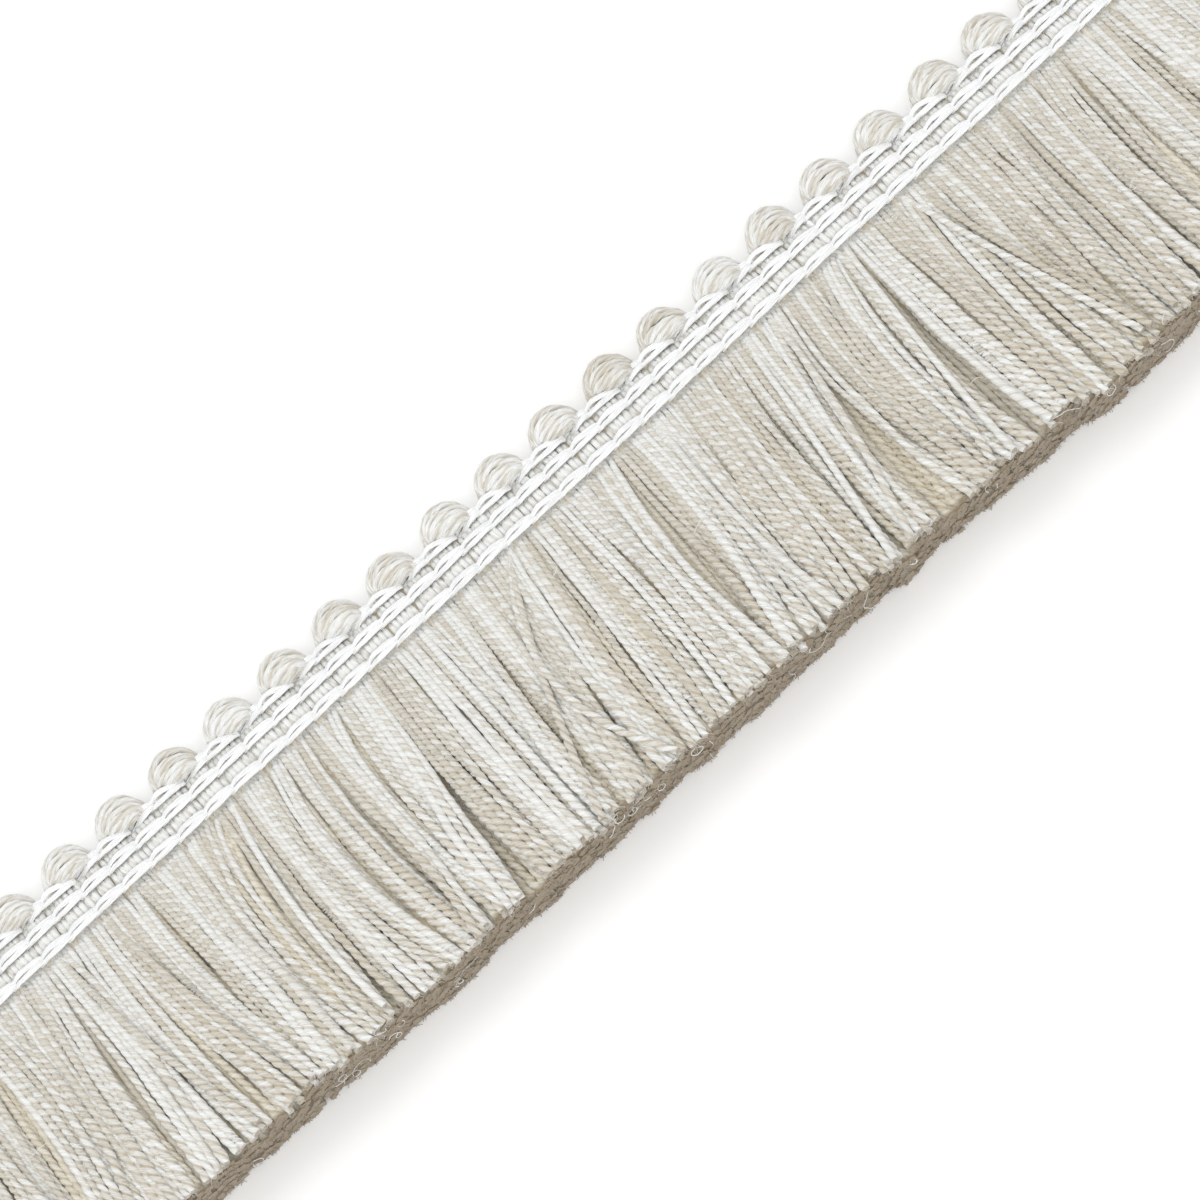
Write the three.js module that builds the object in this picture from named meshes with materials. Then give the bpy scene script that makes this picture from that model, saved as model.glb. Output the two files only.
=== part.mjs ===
// A cut length of brush fringe trim, lying on its back on a flat surface.
//
// Millimetres, +Z up. X runs along the trim, the scallops point to +Y and the cut
// yarn ends to -Y. The surface is Z = 0 and the origin is the middle of the space
// that the trim covers on it.
//
// The real trim is woven from one bundle of yarns that crosses the heading, turns
// back in a loop at the scalloped edge and crosses again, so that every scallop
// joins two columns of the heading. Three rows of warp thread bind the columns.
// On the other side the bundle runs far out, and its loops are cut into a brush.
import * as THREE from "three";

// Driving dimensions of the weave
const SCALLOP_COUNT = 25;
const SCALLOP_PITCH = 7.15;
const COLUMN_PITCH = SCALLOP_PITCH / 2;
const COLUMN_COUNT = SCALLOP_COUNT * 2;
const TRIM_LENGTH = SCALLOP_COUNT * SCALLOP_PITCH;
const TRIM_WIDTH = 38;
const CREST_Y = 19.35;
const CUT_Y = CREST_Y - TRIM_WIDTH;
const CLEARANCE = 0.3;

// The heading, its warp rows and its scalloped edge
const HEADING = { low_y: CREST_Y - 8.7, high_y: CREST_Y - 3, crest_z: 2.2, valley_z: 1.7, steps: 6 };
const WARP = { width: 1.3, waist: 0.9, thickness: 0.5, dip: 0.45, steps: 3 };
const WARP_ROWS = [
  { name: "warp_row_edge", y: CREST_Y - 3.75, pull: 0.2 },
  { name: "warp_row_middle", y: CREST_Y - 5.6, pull: 0 },
  { name: "warp_row_skirt", y: CREST_Y - 8.05, pull: 0 },
];
const SCALLOP = { half_width: 3.1, eye: 0.16, depth: 2.5, lean: 0.2, jitter: 0.12, sides: 8, steps: 7 };
const PROUD_SCALLOP = { index: 17, extra: 0.38 };

// The skirt: locks of yarn in three layers, back, middle and front, which are fused
// at their roots into a narrow strip
const STRIP = { width: 0.9, high_y: HEADING.low_y - CLEARANCE, base_z: 0.2, top_z: 2.8 };
const STRIP_FACE_Y = STRIP.high_y - STRIP.width;
const SKIRT = { root_thickness: 2.3, cut_thickness: 6.7, cut_jitter: 0.2 };
const LOCKS = { count: 75, root_gap: 0.3, cut_gap: 0.4, crown: 0.32 };
const LAYERS = [
  { low: 0.0, high: 0.3, segments: 2, sway: 0.5, crown: 0 },
  { low: 0.35, high: 0.63, segments: 2, sway: 0.7, crown: 0 },
  { low: 0.68, high: 1.0, segments: 4, sway: 1.0, crown: 1 },
];

// How the yarns that are rooted at x lie: how far they drift along the trim by half
// their length and by their end, and how much longer than the rest they were cut.
// Between the rows all three change evenly.
const LIE = [
  { x: -90, mid: 0.0, end: 0.0, longer: 0.0 },
  { x: -74, mid: 0.2, end: -0.4, longer: 0.1 },
  { x: -65, mid: -0.6, end: -0.2, longer: 0.1 },
  { x: -59, mid: 1.0, end: 2.6, longer: 0.0 },
  { x: -50, mid: 1.0, end: 2.2, longer: 0.0 },
  { x: -42, mid: -0.9, end: -0.8, longer: 0.0 },
  { x: -35, mid: -0.2, end: 1.6, longer: 0.15 },
  { x: -29, mid: -0.9, end: 0.4, longer: 0.2 },
  { x: -21, mid: -1.2, end: -0.8, longer: -0.1 },
  { x: -15, mid: 0.2, end: 0.8, longer: 0.0 },
  { x: -8, mid: -1.5, end: -1.8, longer: 0.0 },
  { x: -1, mid: -1.2, end: -2.0, longer: 0.2 },
  { x: 4, mid: 0.2, end: 0.6, longer: -0.1 },
  { x: 12, mid: -1.0, end: -2.1, longer: -0.25 },
  { x: 21, mid: -1.7, end: -2.0, longer: -0.15 },
  { x: 30, mid: -1.7, end: -1.2, longer: 0.0 },
  { x: 37, mid: -1.7, end: -0.8, longer: 0.3 },
  { x: 42, mid: -0.2, end: 0.9, longer: 0.55 },
  { x: 47, mid: -1.0, end: -0.7, longer: 0.8 },
  { x: 52, mid: 0.2, end: 1.6, longer: 0.9 },
  { x: 58, mid: -0.6, end: -0.2, longer: 0.5 },
  { x: 66, mid: -0.8, end: -0.6, longer: 0.1 },
  { x: 90, mid: 0.0, end: 0.0, longer: 0.0 },
];

// Finishes, one for each kind of thread
const fibre = (color) => new THREE.MeshStandardMaterial({ color, roughness: 0.95, metalness: 0 });
const BUNDLE = fibre(0xdcd8cc);
const WARP_COTTON = fibre(0xf2f2ee);
const FRINGE_YARN = fibre(0xded9cb);

const { lerp, clamp } = THREE.MathUtils;

// The same number between -1 and 1 each time for the same count and kind.
function jitter(count, kind) {
  const spread = Math.sin(count * 12.9898 + kind * 78.233) * 43758.5453;
  return 2 * (spread - Math.floor(spread)) - 1;
}

// Moves every point of a geometry to where the function puts it.
function reshape(geometry, place) {
  const points = geometry.getAttribute("position");
  const point = new THREE.Vector3();
  for (let i = 0; i < points.count; i++) {
    point.fromBufferAttribute(points, i);
    place(point);
    points.setXYZ(i, point.x, point.y, point.z);
  }
  return geometry;
}

function piece(name, geometry, material) {
  const mesh = new THREE.Mesh(geometry, material);
  mesh.name = name;
  return mesh;
}

// 0 at the border between two columns of the heading, 1 at a column's middle.
const columnSwell = (x) => Math.abs(Math.sin((Math.PI * (x + TRIM_LENGTH / 2)) / COLUMN_PITCH));

// The woven ground: a rounded ridge for every crossing of the yarn bundle.
function heading() {
  const { low_y, high_y, crest_z, valley_z, steps } = HEADING;
  const outline = new THREE.Shape();
  outline.moveTo(-TRIM_LENGTH / 2, 0);
  outline.lineTo(TRIM_LENGTH / 2, 0);
  const last = COLUMN_COUNT * steps;
  for (let i = last; i >= 0; i--) {
    const x = lerp(-TRIM_LENGTH / 2, TRIM_LENGTH / 2, i / last);
    outline.lineTo(x, lerp(valley_z, crest_z, columnSwell(x)));
  }
  const depth = high_y - low_y;
  const ground = new THREE.ExtrudeGeometry(outline, { depth, bevelEnabled: false });
  return piece("heading", ground.rotateX(Math.PI / 2).translate(0, high_y, 0), BUNDLE);
}

// A row of warp thread: a flat float over every column, narrow and low where it
// dips between two columns. The edge row is drawn towards the scallops' roots.
function warpRow({ name, y, pull }) {
  const { width, waist, thickness, dip, steps } = WARP;
  const low = HEADING.crest_z + CLEARANCE - dip;
  const bar = new THREE.BoxGeometry(TRIM_LENGTH, 1, 1, COLUMN_COUNT * steps, 1, 1);
  reshape(bar, (p) => {
    const swell = Math.sqrt(columnSwell(p.x));
    const wave = Math.cos((2 * Math.PI * p.x) / SCALLOP_PITCH);
    p.y = y - pull * wave + p.y * lerp(waist, width, swell);
    p.z = low + dip * swell + (p.z + 0.5) * thickness;
  });
  return piece(name, bar, WARP_COTTON);
}

// One scallop: the bundle turns back on itself in a flat half ring with next to no
// eye, a rod that is bent round and leans a little to one side.
function scallop(index) {
  const { half_width, eye, depth, lean, sides, steps } = SCALLOP;
  const root = HEADING.high_y + CLEARANCE;
  const proud = index === PROUD_SCALLOP.index ? PROUD_SCALLOP.extra : 0;
  const rise = CREST_Y - root + proud + SCALLOP.jitter * jitter(index, 1);
  const centre = (index + 0.5) * SCALLOP_PITCH - TRIM_LENGTH / 2;
  const rod = new THREE.CylinderGeometry(1, 1, 1, sides, steps);
  reshape(rod, (p) => {
    const turn = Math.PI * (0.5 + p.y);
    const outwards = lerp(eye, 1, (1 + p.x) / 2);
    p.x = centre + half_width * outwards * Math.cos(turn) - lean * outwards * Math.sin(turn);
    p.y = root + rise * outwards * Math.sin(turn);
    p.z = (depth / 2) * (1 + p.z);
  });
  return piece(`scallop_${String(index + 1).padStart(2, "0")}`, rod, BUNDLE);
}

// How the yarns rooted at x lie, worked out between the two nearest rows.
function lieAt(x) {
  const next = clamp(LIE.findIndex((row) => row.x > x), 1, LIE.length - 1);
  const [a, b] = [LIE[next - 1], LIE[next]];
  const between = clamp((x - a.x) / (b.x - a.x), 0, 1);
  const column = (key) => lerp(a[key], b[key], between);
  return { mid: column("mid"), end: column("end"), longer: column("longer") };
}

// The skirt is squeezed flat at the heading and springs open towards its cut end.
function skirtHeight(part, share) {
  const root = STRIP.base_z + part * SKIRT.root_thickness;
  return lerp(root, part * SKIRT.cut_thickness, 1 - (1 - share) ** 2);
}

// Where a point of the skirt lies: x at its root, part of the way from the back of
// the skirt to its front, and share of the way along its length, which is the reach.
function skirtPoint(layer, x, part, share, reach) {
  const { mid, end } = lieAt(x);
  const drift = 4 * mid * share * (1 - share) + end * share * (2 * share - 1);
  return [x + layer.sway * drift, STRIP_FACE_Y - share * reach, skirtHeight(part, share)];
}

// The two sides of a lock at a share of its length.
function lockSides(number, share) {
  const pitch = TRIM_LENGTH / LOCKS.count;
  const left = number * pitch - TRIM_LENGTH / 2;
  const gap = lerp(LOCKS.root_gap, LOCKS.cut_gap, share);
  return [left + gap / 2, left + pitch - gap / 2];
}

// The four corners of a lock at a share of its length, going round it. The corners
// of the front layer stand a little higher or lower, as its yarns do.
function lockCorners(layer, number, share) {
  const [left, right] = lockSides(number, share);
  const { longer } = lieAt((lockSides(number, 0)[0] + lockSides(number, 0)[1]) / 2);
  const reach = STRIP_FACE_Y - CUT_Y + longer + SKIRT.cut_jitter * jitter(number, layer.low);
  const raise = (side) => LOCKS.crown * layer.crown * share * jitter(number * 2 + side, 3);
  const corners = [
    skirtPoint(layer, left, layer.low, share, reach),
    skirtPoint(layer, right, layer.low, share, reach),
    skirtPoint(layer, right, layer.high, share, reach),
    skirtPoint(layer, left, layer.high, share, reach),
  ];
  corners[2][2] += raise(1);
  corners[3][2] += raise(0);
  return corners;
}

// A face with four corners, counted anticlockwise as seen from outside.
const quad = (triangles, a, b, c, d) => triangles.push(...a, ...b, ...c, ...a, ...c, ...d);

// One lock, from the strip's face to its cut end.
function lock(triangles, layer, number) {
  let ring = lockCorners(layer, number, 0);
  for (let step = 1; step <= layer.segments; step++) {
    const next = lockCorners(layer, number, step / layer.segments);
    for (let i = 0; i < ring.length; i++) {
      const j = (i + 1) % ring.length;
      quad(triangles, ring[i], ring[j], next[j], next[i]);
    }
    ring = next;
  }
  quad(triangles, ...ring);
}

// All locks of all layers, standing apart but for the strip that holds their roots.
// The strip's face is a grid, and a lock grows out of every cell that is one's root.
function fringe() {
  const triangles = [];
  const { high_y, top_z } = STRIP;
  const low_y = STRIP_FACE_Y;
  const xs = [-TRIM_LENGTH / 2];
  for (let i = 0; i < LOCKS.count; i++) xs.push(...lockSides(i, 0));
  xs.push(TRIM_LENGTH / 2);
  const zs = [0];
  for (const { low, high } of LAYERS) zs.push(skirtHeight(low, 0), skirtHeight(high, 0));
  zs.push(top_z);

  for (let i = 0; i + 1 < xs.length; i++) {
    const [x0, x1] = [xs[i], xs[i + 1]];
    for (let k = 0; k + 1 < zs.length; k++) {
      const [z0, z1] = [zs[k], zs[k + 1]];
      if (i % 2 && k % 2) lock(triangles, LAYERS[(k - 1) / 2], (i - 1) / 2);
      else quad(triangles, [x0, low_y, z0], [x1, low_y, z0], [x1, low_y, z1], [x0, low_y, z1]);
    }
    quad(triangles, [x1, high_y, 0], [x0, high_y, 0], [x0, high_y, top_z], [x1, high_y, top_z]);
    quad(triangles, [x0, low_y, top_z], [x1, low_y, top_z], [x1, high_y, top_z], [x0, high_y, top_z]);
    quad(triangles, [x1, low_y, 0], [x0, low_y, 0], [x0, high_y, 0], [x1, high_y, 0]);
  }
  // The strip's two ends, which meet the grid's rows along its face
  const [first, last] = [xs[0], xs.at(-1)];
  const behind = zs.length / 2;
  for (let k = 0; k + 1 < zs.length; k++) {
    const back = k < behind ? 0 : top_z;
    triangles.push(first, high_y, back, first, low_y, zs[k], first, low_y, zs[k + 1]);
    triangles.push(last, high_y, back, last, low_y, zs[k + 1], last, low_y, zs[k]);
    if (k < behind && k + 1 >= behind) {
      triangles.push(first, high_y, 0, first, low_y, zs[k + 1], first, high_y, top_z);
      triangles.push(last, high_y, 0, last, high_y, top_z, last, low_y, zs[k + 1]);
    }
  }
  const skin = new THREE.BufferGeometry();
  skin.setAttribute("position", new THREE.BufferAttribute(new Float32Array(triangles), 3));
  return piece("fringe", skin, FRINGE_YARN);
}

const trim = new THREE.Group();
trim.add(heading(), ...WARP_ROWS.map(warpRow), fringe());
for (let i = 0; i < SCALLOP_COUNT; i++) trim.add(scallop(i));

export default trim;
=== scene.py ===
# %% [markdown]
# Brush fringe trim
#
# A brush fringe is woven from one thick bundle of yarns. The bundle crosses a
# narrow heading, turns back in a loop at its scalloped edge, crosses again and
# runs out on the other side as a long skirt, whose loops are cut to a brush.
# Three rows of white warp thread bind the bundle down. This lesson makes every
# yarn of it: numpy finds where the yarns lie, and Geometry Nodes spin them.

# %% The frame, the sizes that it gives, and small helpers
import math
import bpy
import numpy as np
from mathutils import Matrix, Vector


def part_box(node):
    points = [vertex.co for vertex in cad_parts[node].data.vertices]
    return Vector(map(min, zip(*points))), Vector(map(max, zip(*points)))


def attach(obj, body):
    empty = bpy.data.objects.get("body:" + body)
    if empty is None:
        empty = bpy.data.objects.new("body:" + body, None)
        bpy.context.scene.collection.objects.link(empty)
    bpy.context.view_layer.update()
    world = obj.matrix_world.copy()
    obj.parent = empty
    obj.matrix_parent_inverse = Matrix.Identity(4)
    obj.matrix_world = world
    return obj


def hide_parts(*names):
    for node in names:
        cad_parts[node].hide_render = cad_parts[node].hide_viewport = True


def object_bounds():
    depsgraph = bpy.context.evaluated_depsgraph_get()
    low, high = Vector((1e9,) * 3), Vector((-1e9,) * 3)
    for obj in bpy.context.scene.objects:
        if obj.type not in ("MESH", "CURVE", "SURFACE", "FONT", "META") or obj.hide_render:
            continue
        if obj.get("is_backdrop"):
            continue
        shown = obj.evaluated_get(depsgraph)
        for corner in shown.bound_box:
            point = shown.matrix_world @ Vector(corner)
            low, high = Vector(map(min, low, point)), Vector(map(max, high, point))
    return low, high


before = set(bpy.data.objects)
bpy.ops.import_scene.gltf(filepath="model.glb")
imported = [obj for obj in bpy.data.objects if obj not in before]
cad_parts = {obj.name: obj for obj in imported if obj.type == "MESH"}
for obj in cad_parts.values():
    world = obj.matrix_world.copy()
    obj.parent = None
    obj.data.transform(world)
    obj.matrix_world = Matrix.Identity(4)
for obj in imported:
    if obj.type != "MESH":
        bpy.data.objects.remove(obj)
CAD_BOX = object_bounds()

MM = 0.001


def box_mm(node):
    """Lowest and highest corner of a node, in millimetres."""
    low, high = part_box(node)
    return np.array(low) / MM, np.array(high) / MM


SCALLOPS = sorted(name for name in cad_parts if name.startswith("scallop_"))
WARP_ROWS = ["warp_row_edge", "warp_row_middle", "warp_row_skirt"]
HEADING_LOW, HEADING_HIGH = box_mm("heading")
TRIM_LENGTH = HEADING_HIGH[0] - HEADING_LOW[0]
COLUMN_COUNT = 2 * len(SCALLOPS)
COLUMN_PITCH = TRIM_LENGTH / COLUMN_COUNT
COLUMN_X = HEADING_LOW[0] + COLUMN_PITCH * (np.arange(COLUMN_COUNT) + 0.5)
TRIM_WIDTH = 38.0
CREST_Y = HEADING_HIGH[1] + 3.0
CUT_Y = CREST_Y - TRIM_WIDTH
print(f"trim {TRIM_LENGTH:.1f} mm long, {COLUMN_COUNT} columns of {COLUMN_PITCH:.2f} mm")


def lerp(a, b, part):
    return a + (b - a) * part


def smooth(low, high, value):
    """0 below low, 1 above high, and an even S between them."""
    part = np.clip((value - low) / (high - low), 0, 1)
    return part * part * (3 - 2 * part)


# %% [markdown]
# The camera looks down on the trim as the photograph does: tilted towards the
# cut edge, so that the thickness of the brush shows, and rolled so that the trim
# climbs across the frame. A long lens keeps the rows of the weave parallel.

# %% The camera
VIEW_TILT = math.radians(22)
VIEW_ROLL = math.radians(42.1)
PIXELS_PER_MM = 10.38
FRAME_PIXELS = 1200
LENS_MM = 150
SENSOR_MM = 36
LOOK_AT = Vector((-0.6, -0.08, 3.0)) * MM


def make_camera():
    along = Vector((1, 0, 0))
    upwards = Vector((0, math.cos(VIEW_TILT), math.sin(VIEW_TILT)))
    towards = Vector((0, -math.sin(VIEW_TILT), math.cos(VIEW_TILT)))
    right = along * math.cos(VIEW_ROLL) - upwards * math.sin(VIEW_ROLL)
    top = along * math.sin(VIEW_ROLL) + upwards * math.cos(VIEW_ROLL)
    frame_width = FRAME_PIXELS / PIXELS_PER_MM * MM
    distance = frame_width * LENS_MM / SENSOR_MM
    data = bpy.data.cameras.new("photo_camera")
    data.lens = LENS_MM
    data.sensor_width = SENSOR_MM
    data.clip_start = 0.01
    camera = bpy.data.objects.new("photo_camera", data)
    bpy.context.scene.collection.objects.link(camera)
    turn = Matrix((right, top, towards)).transposed().to_4x4()
    camera.matrix_world = Matrix.Translation(LOOK_AT + towards * distance) @ turn
    bpy.context.scene.camera = camera
    print(f"camera {distance:.3f} m away, frame {frame_width / MM:.1f} mm wide")


make_camera()

# %% [markdown]
# The studio is a pale floor under a bright sky and three large soft lamps. The key
# stands beyond the scallops: its light rakes down the yarns, picks out their twist
# and leaves the cut face of the brush in shade, as in the photograph. A wide fill
# and a low glow on the near side lift the shade between the yarns.

# %% The floor and the lights
def linear(hex_code, alpha=1.0):
    """An sRGB hex colour as the linear RGBA that Blender's sockets hold."""
    parts = [int(hex_code[i:i + 2], 16) / 255 for i in (1, 3, 5)]
    bright = [c / 12.92 if c <= 0.04045 else ((c + 0.055) / 1.055) ** 2.4 for c in parts]
    return (*bright, alpha)


def node(tree, kind, inputs=None, **settings):
    """Adds a node. Inputs are given a value, or the node or the output that feeds them."""
    made = tree.nodes.new(kind)
    for name, value in settings.items():
        setattr(made, name, value)
    for key, value in (inputs or {}).items():
        if isinstance(value, bpy.types.Node):
            value = value.outputs[0]
        if isinstance(value, bpy.types.NodeSocket):
            tree.links.new(value, made.inputs[key])
        else:
            made.inputs[key].default_value = value
    return made


def make_floor():
    material = bpy.data.materials.new("matt_paper_white")
    material.use_nodes = True
    shader = material.node_tree.nodes["Principled BSDF"]
    shader.inputs["Base Color"].default_value = linear("#fbfbfb")
    shader.inputs["Roughness"].default_value = 0.9
    mesh = bpy.data.meshes.new("studio_floor")
    half = 1.5
    corners = [(-half, -half, 0), (half, -half, 0), (half, half, 0), (-half, half, 0)]
    mesh.from_pydata(corners, [], [(0, 1, 2, 3)])
    mesh.materials.append(material)
    floor = bpy.data.objects.new("studio_floor", mesh)
    bpy.context.scene.collection.objects.link(floor)
    floor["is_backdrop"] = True


# Lamps: where they stand in metres, how wide they are, and their power in watts
LAMPS = [
    {"name": "soft_key", "place": (-0.25, 0.75, 0.85), "size": 0.9, "watts": 5.2},
    {"name": "top_fill", "place": (0.15, -0.55, 1.1), "size": 1.6, "watts": 5.2},
    {"name": "front_glow", "place": (-0.1, -0.8, 0.45), "size": 0.8, "watts": 2.4},
]


def make_lights():
    for lamp in LAMPS:
        data = bpy.data.lights.new(lamp["name"], "AREA")
        data.size = lamp["size"]
        data.energy = lamp["watts"]
        light = bpy.data.objects.new(lamp["name"], data)
        light.location = lamp["place"]
        light.rotation_euler = (-Vector(lamp["place"])).to_track_quat("-Z", "Y").to_euler()
        bpy.context.scene.collection.objects.link(light)
    world = bpy.data.worlds.new("studio_air")
    world.use_nodes = True
    world.node_tree.nodes["Background"].inputs["Color"].default_value = linear("#ffffff")
    world.node_tree.nodes["Background"].inputs["Strength"].default_value = 0.68
    bpy.context.scene.world = world
    bpy.context.scene.view_settings.view_transform = "Standard"
    print(f"{len(LAMPS)} lamps")


make_floor()
make_lights()

# %% [markdown]
# The lie of the skirt
#
# A real skirt is never straight: its yarns drift to and fro in wide locks. The
# table gives the drift, read off the photograph at a dozen locks on each side of
# the middle: how far a yarn that is rooted at x lies to the side by half its
# length, how far by its end, and how much longer than the rest it was cut.

# %% How the yarns lie
LIE = {
    "x": [-90, -74, -65, -59, -50, -42, -35, -29, -21, -15, -8, -1,
          4, 12, 21, 30, 37, 42, 47, 52, 58, 66, 90],
    "mid": [0, 0.2, -0.6, 1, 1, -0.9, -0.2, -0.9, -1.2, 0.2, -1.5, -1.2,
            0.2, -1, -1.7, -1.7, -1.7, -0.2, -1, 0.2, -0.6, -0.8, 0],
    "end": [0, -0.4, -0.2, 2.6, 2.2, -0.8, 1.6, 0.4, -0.8, 0.8, -1.8, -2,
            0.6, -2.1, -2, -1.2, -0.8, 0.9, -0.7, 1.6, -0.2, -0.6, 0],
    "longer": [0, 0.1, 0.1, 0, 0, 0, 0.15, 0.2, -0.1, 0, 0, 0.2,
               -0.1, -0.25, -0.15, 0, 0.3, 0.55, 0.8, 0.9, 0.5, 0.1, 0],
}


def lie(column, x):
    return np.interp(x, LIE["x"], LIE[column])


def drift(x, share):
    """How far yarns rooted at x lie to the side at a share of their length."""
    return 4 * lie("mid", x) * share * (1 - share) + lie("end", x) * share * (2 * share - 1)


print(f"the lie is given at {len(LIE['x'])} places, its yarns drift up to {max(LIE['end']):.1f} mm")

# %% [markdown]
# Where every yarn lies
#
# Each column of the heading holds a bundle of 36 yarns in six layers. They leave
# it squeezed together, and spring open towards the cut end. Yarns cling together
# in locks of three to seven. Their cross-section is settled at two dozen stations
# along the skirt: yarns that overlap push each other apart, each one is kept
# smooth along its length, and the floor holds them up.

# %% Settling the yarns of the skirt
LAYERS, LAYER_YARNS = 6, 6
BUNDLE_SIZE = LAYERS * LAYER_YARNS
TOP_SPACING, TOP_SHIFT = 0.565, 0.04
ROOT_RADIUS, CUT_RADIUS = 0.32, 0.47
SOFTNESS = 0.81
SKIRT_THICKNESS = 6.7
RAGGED_SPACING = 2.2
STATIONS = 24
SHARE = (np.linspace(0, 1, STATIONS) * 0.7 + np.linspace(0, 1, STATIONS) ** 2 * 0.3)[:, None]
NEIGHBOURS = 14
FOLLOW = np.array([0.0, 0.1, 0.25, 0.5, 0.8, 1.0])
LIVELY = np.array([0.3, 0.2, 0.2, 0.35, 0.8, 1.0])
LOCK_SWAY = (0.5, 0.8, 0.3)
# How much single yarns stray from their lock: at half length, at the end, and in two finer waves
YARN_SWAY_MIDDLE, YARN_SWAY_END, YARN_WAVE, YARN_RIPPLE = 0.15, 0.25, 0.12, 0.05
ROOT_JITTER, HEIGHT_JITTER, SLUB = 0.03, 0.04, 0.05
GATHERING = 0.28
RAGGED, LONE_ON_TOP, LONE_INSIDE = 0.2, 0.2, 0.07
# Settling, in each round: how far yarns give way, return to their place, and even out lengthwise
GIVE, HOLD_ACROSS, HOLD_UP, EVENING = 0.3, 0.03, 0.06, 0.2
rng = np.random.default_rng(20)


def root_bundle():
    """Place of each yarn in its column's bundle, at the skirt's root."""
    x, z = [], []
    for layer in range(LAYERS):
        on_top = layer == LAYERS - 1
        spacing = TOP_SPACING if on_top else COLUMN_PITCH / LAYER_YARNS
        shift = TOP_SHIFT if on_top else spacing * (0.25 if layer % 2 else -0.25)
        across = (np.arange(LAYER_YARNS) - (LAYER_YARNS - 1) / 2) * spacing
        dome = 0.3 * (across / across.max()) ** 4 * on_top
        x.append(across + shift)
        z.append(lerp(ROOT_RADIUS, HEADING_HIGH[2] - ROOT_RADIUS, layer / (LAYERS - 1)) - dome)
    return np.concatenate(x), np.concatenate(z)


def cling(root_x, layer):
    """Sway at half length and at the end, lift, and pull to the lock's middle, of each yarn."""
    sway = np.zeros((4, root_x.size))
    for number in range(LAYERS):
        members = np.flatnonzero(layer == number)
        members = members[np.argsort(root_x[members])]
        start = 0
        while start < len(members):
            lock = members[start:start + rng.integers(3, 8)]
            sway[:3, lock] = LIVELY[number] * rng.normal(0, LOCK_SWAY)[:, None]
            sway[3, lock] = root_x[lock].mean() - root_x[lock]
            start += len(lock)
    return sway


def settle(radius, guide_x, guide_z, rounds=80):
    """Pushes overlapping yarns apart at every station, all stations at once."""
    x, z = guide_x.copy(), guide_z.copy()
    for _ in range(rounds):
        order = np.argsort(x, axis=1)
        sx, sz, sr = (np.take_along_axis(a, order, 1) for a in (x, z, radius))
        push_x, push_z = np.zeros_like(sx), np.zeros_like(sz)
        for k in range(1, NEIGHBOURS + 1):
            dx, dz = sx[:, k:] - sx[:, :-k], sz[:, k:] - sz[:, :-k]
            apart = np.hypot(dx, dz) + 1e-6
            lap = np.maximum(SOFTNESS * (sr[:, k:] + sr[:, :-k]) - apart, 0) * GIVE / apart
            push_x[:, k:] += dx * lap
            push_x[:, :-k] -= dx * lap
            push_z[:, k:] += dz * lap
            push_z[:, :-k] -= dz * lap
        step_x, step_z = np.empty_like(x), np.empty_like(z)
        np.put_along_axis(step_x, order, push_x, 1)
        np.put_along_axis(step_z, order, push_z, 1)
        step_x += HOLD_ACROSS * (guide_x - x)
        step_z += HOLD_UP * (guide_z - z)
        for here, step, guide in ((x, step_x, guide_x), (z, step_z, guide_z)):
            here[1:] += step[1:]
            off = here - guide
            here[1:-1] += EVENING * (off[:-2] + off[2:] - 2 * off[1:-1])
        np.clip(x, HEADING_LOW[0] + radius, HEADING_HIGH[0] - radius, out=x)
        np.maximum(z, radius, out=z)
    return x, z


def lay_skirt():
    """Centre lines of all yarns of the skirt, as arrays of stations by yarns."""
    bundle_x, bundle_z = root_bundle()
    jitter = rng.normal(0, ROOT_JITTER, (COLUMN_COUNT, BUNDLE_SIZE))
    root_x = (COLUMN_X[:, None] + bundle_x + jitter).ravel()
    root_z = np.tile(bundle_z, COLUMN_COUNT)
    layer = np.tile(np.repeat(np.arange(LAYERS), LAYER_YARNS), COLUMN_COUNT)
    radius = lerp(ROOT_RADIUS, CUT_RADIUS, SHARE ** 0.65) * rng.uniform(0.86, 1.12, root_x.size)
    slubs = rng.normal(0, 1, (STATIONS, root_x.size))
    radius *= 1 + SLUB * (slubs + np.roll(slubs, 1, axis=0))

    # Yarns drift with the lie of the skirt, then with their lock, then alone
    mid, end, lift, together = cling(root_x, layer)
    arch = 4 * SHARE * (1 - SHARE)
    guide_x = root_x + FOLLOW[layer] * drift(root_x, SHARE)
    guide_x += (mid + rng.normal(0, YARN_SWAY_MIDDLE, root_x.size)) * arch
    guide_x += (end + GATHERING * together + rng.normal(0, YARN_SWAY_END, root_x.size)) * SHARE ** 1.5
    guide_x += rng.normal(0, YARN_WAVE, root_x.size) * np.sin(2 * np.pi * SHARE)
    guide_x += rng.normal(0, YARN_RIPPLE, root_x.size) * np.sin(5 * np.pi * SHARE + 3 * mid)
    height = layer / (LAYERS - 1) + rng.normal(0, HEIGHT_JITTER, root_x.size)
    opened = 1 - (1 - SHARE) ** 2
    guide_z = lerp(root_z, radius + height * (SKIRT_THICKNESS - 2 * radius) + lift, opened)
    x, z = settle(radius, guide_x, guide_z)
    places = np.arange(HEADING_LOW[0], HEADING_HIGH[0], RAGGED_SPACING)
    ragged = np.interp(x[-1], places, rng.normal(0, RAGGED, places.size))
    lone = rng.normal(0, np.where(layer == LAYERS - 1, LONE_ON_TOP, LONE_INSIDE))
    reach = HEADING_LOW[1] - CUT_Y + lie("longer", root_x) + ragged + lone
    y = HEADING_LOW[1] - SHARE * reach
    return x, y, z, radius


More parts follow.
